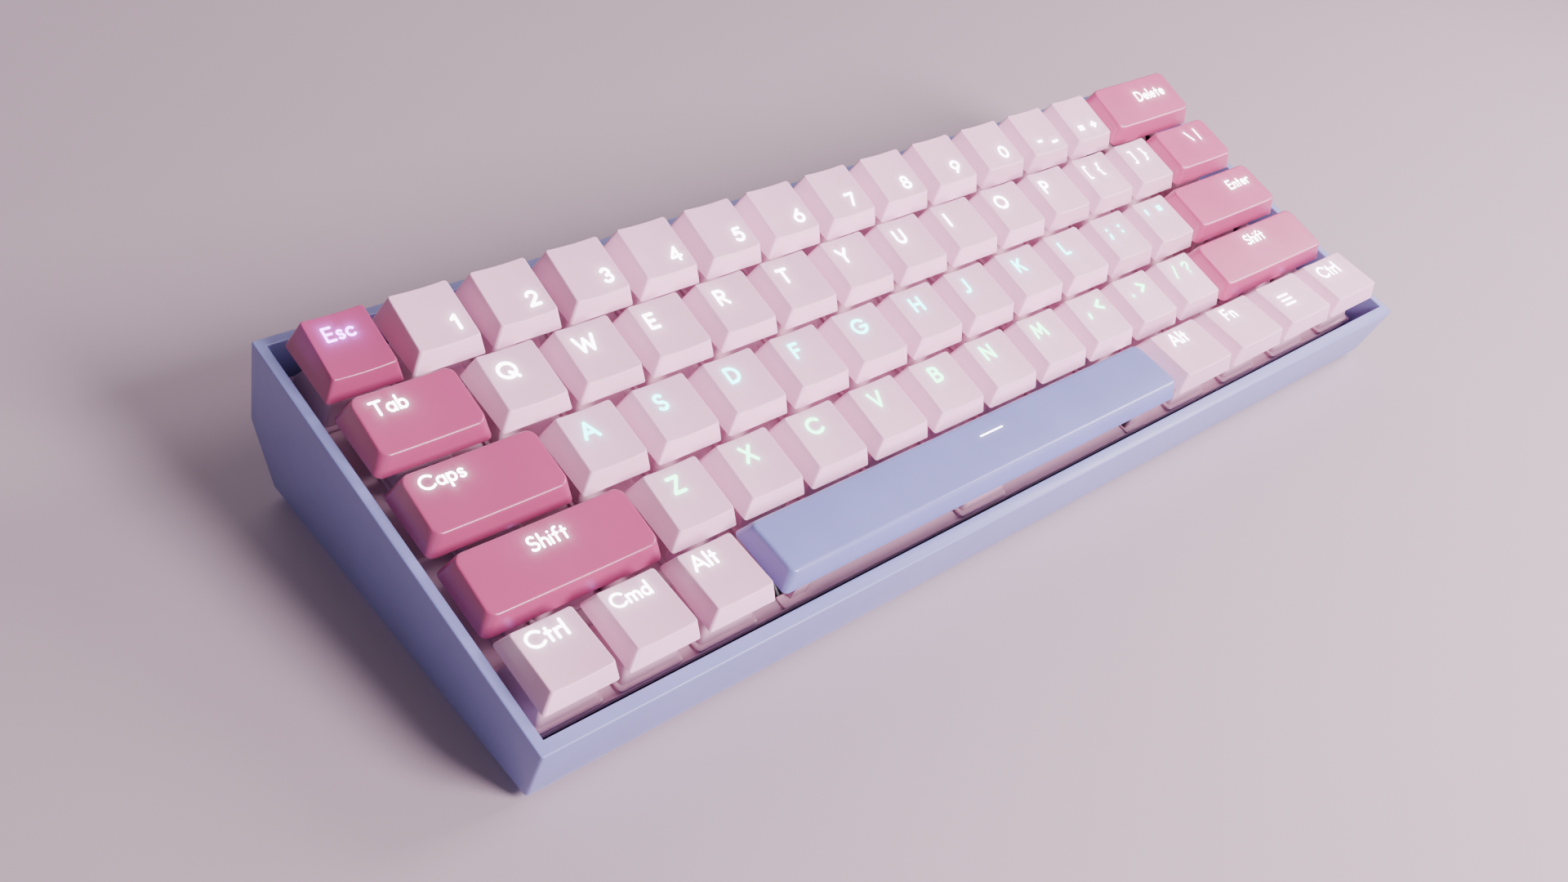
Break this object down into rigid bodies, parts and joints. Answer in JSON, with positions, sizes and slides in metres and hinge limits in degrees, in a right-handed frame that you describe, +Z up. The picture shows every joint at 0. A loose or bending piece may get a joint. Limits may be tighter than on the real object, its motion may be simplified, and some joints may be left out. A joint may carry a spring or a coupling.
{
  "type": "mechanical keyboard",
  "caption": "Compact wedge keyboard with sculpted keycaps on sprung switches, wire stabilisers under the wide keys, a switch plate, circuit board and tray case.",
  "frame": {"origin": "middle of the footprint, at the soles of the feet", "axes": "+X to the right along the rows, +Y away from the typist, +Z up from the desk; the deck is tipped up 11.2 degrees at the rear"},
  "size_m": [0.2918, 0.1066, 0.0466],
  "materials": {
    "case": "satin",
    "plate": "satin powder coat",
    "board": "solder mask",
    "housing": "moulded",
    "steel": "drawn wire and stamped shell",
    "chip": "epoxy",
    "rubber": "matt",
    "alpha": "satin",
    "accent": "satin gloss",
    "esc": "satin gloss",
    "bar": "satin gloss",
    "legend_white": "lit translucent",
    "legend_cyan": "lit translucent",
    "legend_mint": "lit translucent",
    "legend_violet": "lit translucent",
    "foam": "open-cell foam"
  },
  "bodies": {
    "chassis": {"case_tray": "case", "switch_plate": "plate", "circuit_board": "board", "switch_housings": "housing", "usb_port": "steel", "controller_chip": "chip", "foot_front_left": "rubber", "foot_front_right": "rubber", "foot_rear_left": "rubber", "foot_rear_right": "rubber"},
    "keys_number_row": {"keys_number_row": "alpha"},
    "keys_bottom_left": {"keys_bottom_left": "alpha"},
    "keys_bottom_right": {"keys_bottom_right": "alpha"},
    "key_space": {"key_space": "bar"},
    "key_shift_left": {"key_shift_left": "accent"},
    "key_z": {"key_z": "alpha"},
    "key_x": {"key_x": "alpha"},
    "key_c": {"key_c": "alpha"},
    "key_v": {"key_v": "alpha"},
    "key_b": {"key_b": "alpha"},
    "key_n": {"key_n": "alpha"},
    "key_m": {"key_m": "alpha"},
    "key_comma": {"key_comma": "alpha"},
    "key_period": {"key_period": "alpha"},
    "key_slash": {"key_slash": "alpha"},
    "key_shift_right": {"key_shift_right": "accent"},
    "key_caps": {"key_caps": "accent"},
    "key_a": {"key_a": "alpha"},
    "key_s": {"key_s": "alpha"},
    "key_d": {"key_d": "alpha"},
    "key_f": {"key_f": "alpha"},
    "key_g": {"key_g": "alpha"},
    "key_h": {"key_h": "alpha"},
    "key_j": {"key_j": "alpha"},
    "key_k": {"key_k": "alpha"},
    "key_l": {"key_l": "alpha"},
    "key_semicolon": {"key_semicolon": "alpha"},
    "key_quote": {"key_quote": "alpha"},
    "key_enter": {"key_enter": "accent"},
    "key_tab": {"key_tab": "accent"},
    "key_q": {"key_q": "alpha"},
    "key_w": {"key_w": "alpha"},
    "key_e": {"key_e": "alpha"},
    "key_r": {"key_r": "alpha"},
    "key_t": {"key_t": "alpha"},
    "key_y": {"key_y": "alpha"},
    "key_u": {"key_u": "alpha"},
    "key_i": {"key_i": "alpha"},
    "key_o": {"key_o": "alpha"},
    "key_p": {"key_p": "alpha"},
    "key_bracket_left": {"key_bracket_left": "alpha"},
    "key_bracket_right": {"key_bracket_right": "alpha"},
    "key_backslash": {"key_backslash": "accent"},
    "key_esc": {"key_esc": "esc"},
    "key_delete": {"key_delete": "accent"},
    "stabiliser_wire_delete": {"stabiliser_wire_delete": "steel"},
    "stabiliser_wire_enter": {"stabiliser_wire_enter": "steel"},
    "stabiliser_wire_shift_left": {"stabiliser_wire_shift_left": "steel"},
    "stabiliser_wire_shift_right": {"stabiliser_wire_shift_right": "steel"},
    "stabiliser_wire_space": {"stabiliser_wire_space": "steel"}
  },
  "joints": [
    {"name": "press_number_row", "type": "slide", "parent": "chassis", "child": "keys_number_row", "axis": [0, -0.1942, 0.981], "range_m": [-0.004, 0], "stiffness_N_per_m": 900, "springref_m": 0.004},
    {"name": "press_bottom_left", "type": "slide", "parent": "chassis", "child": "keys_bottom_left", "axis": [0, -0.1942, 0.981], "range_m": [-0.004, 0], "stiffness_N_per_m": 225, "springref_m": 0.004},
    {"name": "press_bottom_right", "type": "slide", "parent": "chassis", "child": "keys_bottom_right", "axis": [0, -0.1942, 0.981], "range_m": [-0.004, 0], "stiffness_N_per_m": 300, "springref_m": 0.004},
    {"name": "press_space", "type": "slide", "parent": "chassis", "child": "key_space", "axis": [0, -0.1942, 0.981], "range_m": [-0.004, 0], "stiffness_N_per_m": 75, "springref_m": 0.004},
    {"name": "press_shift_left", "type": "slide", "parent": "chassis", "child": "key_shift_left", "axis": [0, -0.1942, 0.981], "range_m": [-0.004, 0], "stiffness_N_per_m": 75, "springref_m": 0.004},
    {"name": "press_z", "type": "slide", "parent": "chassis", "child": "key_z", "axis": [0, -0.1942, 0.981], "range_m": [-0.004, 0], "stiffness_N_per_m": 75, "springref_m": 0.004},
    {"name": "press_x", "type": "slide", "parent": "chassis", "child": "key_x", "axis": [0, -0.1942, 0.981], "range_m": [-0.004, 0], "stiffness_N_per_m": 75, "springref_m": 0.004},
    {"name": "press_c", "type": "slide", "parent": "chassis", "child": "key_c", "axis": [0, -0.1942, 0.981], "range_m": [-0.004, 0], "stiffness_N_per_m": 75, "springref_m": 0.004},
    {"name": "press_v", "type": "slide", "parent": "chassis", "child": "key_v", "axis": [0, -0.1942, 0.981], "range_m": [-0.004, 0], "stiffness_N_per_m": 75, "springref_m": 0.004},
    {"name": "press_b", "type": "slide", "parent": "chassis", "child": "key_b", "axis": [0, -0.1942, 0.981], "range_m": [-0.004, 0], "stiffness_N_per_m": 75, "springref_m": 0.004},
    {"name": "press_n", "type": "slide", "parent": "chassis", "child": "key_n", "axis": [0, -0.1942, 0.981], "range_m": [-0.004, 0], "stiffness_N_per_m": 75, "springref_m": 0.004},
    {"name": "press_m", "type": "slide", "parent": "chassis", "child": "key_m", "axis": [0, -0.1942, 0.981], "range_m": [-0.004, 0], "stiffness_N_per_m": 75, "springref_m": 0.004},
    {"name": "press_comma", "type": "slide", "parent": "chassis", "child": "key_comma", "axis": [0, -0.1942, 0.981], "range_m": [-0.004, 0], "stiffness_N_per_m": 75, "springref_m": 0.004},
    {"name": "press_period", "type": "slide", "parent": "chassis", "child": "key_period", "axis": [0, -0.1942, 0.981], "range_m": [-0.004, 0], "stiffness_N_per_m": 75, "springref_m": 0.004},
    {"name": "press_slash", "type": "slide", "parent": "chassis", "child": "key_slash", "axis": [0, -0.1942, 0.981], "range_m": [-0.004, 0], "stiffness_N_per_m": 75, "springref_m": 0.004},
    {"name": "press_shift_right", "type": "slide", "parent": "chassis", "child": "key_shift_right", "axis": [0, -0.1942, 0.981], "range_m": [-0.004, 0], "stiffness_N_per_m": 75, "springref_m": 0.004},
    {"name": "press_caps", "type": "slide", "parent": "chassis", "child": "key_caps", "axis": [0, -0.1942, 0.981], "range_m": [-0.004, 0], "stiffness_N_per_m": 75, "springref_m": 0.004},
    {"name": "press_a", "type": "slide", "parent": "chassis", "child": "key_a", "axis": [0, -0.1942, 0.981], "range_m": [-0.004, 0], "stiffness_N_per_m": 75, "springref_m": 0.004},
    {"name": "press_s", "type": "slide", "parent": "chassis", "child": "key_s", "axis": [0, -0.1942, 0.981], "range_m": [-0.004, 0], "stiffness_N_per_m": 75, "springref_m": 0.004},
    {"name": "press_d", "type": "slide", "parent": "chassis", "child": "key_d", "axis": [0, -0.1942, 0.981], "range_m": [-0.004, 0], "stiffness_N_per_m": 75, "springref_m": 0.004},
    {"name": "press_f", "type": "slide", "parent": "chassis", "child": "key_f", "axis": [0, -0.1942, 0.981], "range_m": [-0.004, 0], "stiffness_N_per_m": 75, "springref_m": 0.004},
    {"name": "press_g", "type": "slide", "parent": "chassis", "child": "key_g", "axis": [0, -0.1942, 0.981], "range_m": [-0.004, 0], "stiffness_N_per_m": 75, "springref_m": 0.004},
    {"name": "press_h", "type": "slide", "parent": "chassis", "child": "key_h", "axis": [0, -0.1942, 0.981], "range_m": [-0.004, 0], "stiffness_N_per_m": 75, "springref_m": 0.004},
    {"name": "press_j", "type": "slide", "parent": "chassis", "child": "key_j", "axis": [0, -0.1942, 0.981], "range_m": [-0.004, 0], "stiffness_N_per_m": 75, "springref_m": 0.004},
    {"name": "press_k", "type": "slide", "parent": "chassis", "child": "key_k", "axis": [0, -0.1942, 0.981], "range_m": [-0.004, 0], "stiffness_N_per_m": 75, "springref_m": 0.004},
    {"name": "press_l", "type": "slide", "parent": "chassis", "child": "key_l", "axis": [0, -0.1942, 0.981], "range_m": [-0.004, 0], "stiffness_N_per_m": 75, "springref_m": 0.004},
    {"name": "press_semicolon", "type": "slide", "parent": "chassis", "child": "key_semicolon", "axis": [0, -0.1942, 0.981], "range_m": [-0.004, 0], "stiffness_N_per_m": 75, "springref_m": 0.004},
    {"name": "press_quote", "type": "slide", "parent": "chassis", "child": "key_quote", "axis": [0, -0.1942, 0.981], "range_m": [-0.004, 0], "stiffness_N_per_m": 75, "springref_m": 0.004},
    {"name": "press_enter", "type": "slide", "parent": "chassis", "child": "key_enter", "axis": [0, -0.1942, 0.981], "range_m": [-0.004, 0], "stiffness_N_per_m": 75, "springref_m": 0.004},
    {"name": "press_tab", "type": "slide", "parent": "chassis", "child": "key_tab", "axis": [0, -0.1942, 0.981], "range_m": [-0.004, 0], "stiffness_N_per_m": 75, "springref_m": 0.004},
    {"name": "press_q", "type": "slide", "parent": "chassis", "child": "key_q", "axis": [0, -0.1942, 0.981], "range_m": [-0.004, 0], "stiffness_N_per_m": 75, "springref_m": 0.004},
    {"name": "press_w", "type": "slide", "parent": "chassis", "child": "key_w", "axis": [0, -0.1942, 0.981], "range_m": [-0.004, 0], "stiffness_N_per_m": 75, "springref_m": 0.004},
    {"name": "press_e", "type": "slide", "parent": "chassis", "child": "key_e", "axis": [0, -0.1942, 0.981], "range_m": [-0.004, 0], "stiffness_N_per_m": 75, "springref_m": 0.004},
    {"name": "press_r", "type": "slide", "parent": "chassis", "child": "key_r", "axis": [0, -0.1942, 0.981], "range_m": [-0.004, 0], "stiffness_N_per_m": 75, "springref_m": 0.004},
    {"name": "press_t", "type": "slide", "parent": "chassis", "child": "key_t", "axis": [0, -0.1942, 0.981], "range_m": [-0.004, 0], "stiffness_N_per_m": 75, "springref_m": 0.004},
    {"name": "press_y", "type": "slide", "parent": "chassis", "child": "key_y", "axis": [0, -0.1942, 0.981], "range_m": [-0.004, 0], "stiffness_N_per_m": 75, "springref_m": 0.004},
    {"name": "press_u", "type": "slide", "parent": "chassis", "child": "key_u", "axis": [0, -0.1942, 0.981], "range_m": [-0.004, 0], "stiffness_N_per_m": 75, "springref_m": 0.004},
    {"name": "press_i", "type": "slide", "parent": "chassis", "child": "key_i", "axis": [0, -0.1942, 0.981], "range_m": [-0.004, 0], "stiffness_N_per_m": 75, "springref_m": 0.004},
    {"name": "press_o", "type": "slide", "parent": "chassis", "child": "key_o", "axis": [0, -0.1942, 0.981], "range_m": [-0.004, 0], "stiffness_N_per_m": 75, "springref_m": 0.004},
    {"name": "press_p", "type": "slide", "parent": "chassis", "child": "key_p", "axis": [0, -0.1942, 0.981], "range_m": [-0.004, 0], "stiffness_N_per_m": 75, "springref_m": 0.004},
    {"name": "press_bracket_left", "type": "slide", "parent": "chassis", "child": "key_bracket_left", "axis": [0, -0.1942, 0.981], "range_m": [-0.004, 0], "stiffness_N_per_m": 75, "springref_m": 0.004},
    {"name": "press_bracket_right", "type": "slide", "parent": "chassis", "child": "key_bracket_right", "axis": [0, -0.1942, 0.981], "range_m": [-0.004, 0], "stiffness_N_per_m": 75, "springref_m": 0.004},
    {"name": "press_backslash", "type": "slide", "parent": "chassis", "child": "key_backslash", "axis": [0, -0.1942, 0.981], "range_m": [-0.004, 0], "stiffness_N_per_m": 75, "springref_m": 0.004},
    {"name": "press_esc", "type": "slide", "parent": "chassis", "child": "key_esc", "axis": [0, -0.1942, 0.981], "range_m": [-0.004, 0], "stiffness_N_per_m": 75, "springref_m": 0.004},
    {"name": "press_delete", "type": "slide", "parent": "chassis", "child": "key_delete", "axis": [0, -0.1942, 0.981], "range_m": [-0.004, 0], "stiffness_N_per_m": 75, "springref_m": 0.004},
    {"name": "wire_turn_delete", "type": "hinge", "parent": "chassis", "child": "stabiliser_wire_delete", "pos_m": [0.12383, 0.02956, 0.02257], "axis": [1, 0, 0], "range_deg": [-28.41, 0.3]},
    {"name": "wire_turn_enter", "type": "hinge", "parent": "chassis", "child": "stabiliser_wire_enter", "pos_m": [0.1224, -0.00781, 0.01517], "axis": [1, 0, 0], "range_deg": [-28.41, 0.3]},
    {"name": "wire_turn_shift_left", "type": "hinge", "parent": "chassis", "child": "stabiliser_wire_shift_left", "pos_m": [-0.12097, -0.0265, 0.01147], "axis": [1, 0, 0], "range_deg": [-28.41, 0.3]},
    {"name": "wire_turn_shift_right", "type": "hinge", "parent": "chassis", "child": "stabiliser_wire_shift_right", "pos_m": [0.11716, -0.0265, 0.01147], "axis": [1, 0, 0], "range_deg": [-28.41, 0.3]},
    {"name": "wire_turn_space", "type": "hinge", "parent": "chassis", "child": "stabiliser_wire_space", "pos_m": [-0.01905, -0.04519, 0.00777], "axis": [1, 0, 0], "range_deg": [-28.41, 0.3]}
  ],
  "couplings": [
    {"joint": "wire_turn_delete", "follows": "press_delete", "rad_per_m": 122.64},
    {"joint": "wire_turn_enter", "follows": "press_enter", "rad_per_m": 122.64},
    {"joint": "wire_turn_shift_left", "follows": "press_shift_left", "rad_per_m": 122.64},
    {"joint": "wire_turn_shift_right", "follows": "press_shift_right", "rad_per_m": 122.64},
    {"joint": "wire_turn_space", "follows": "press_space", "rad_per_m": 122.64}
  ]
}
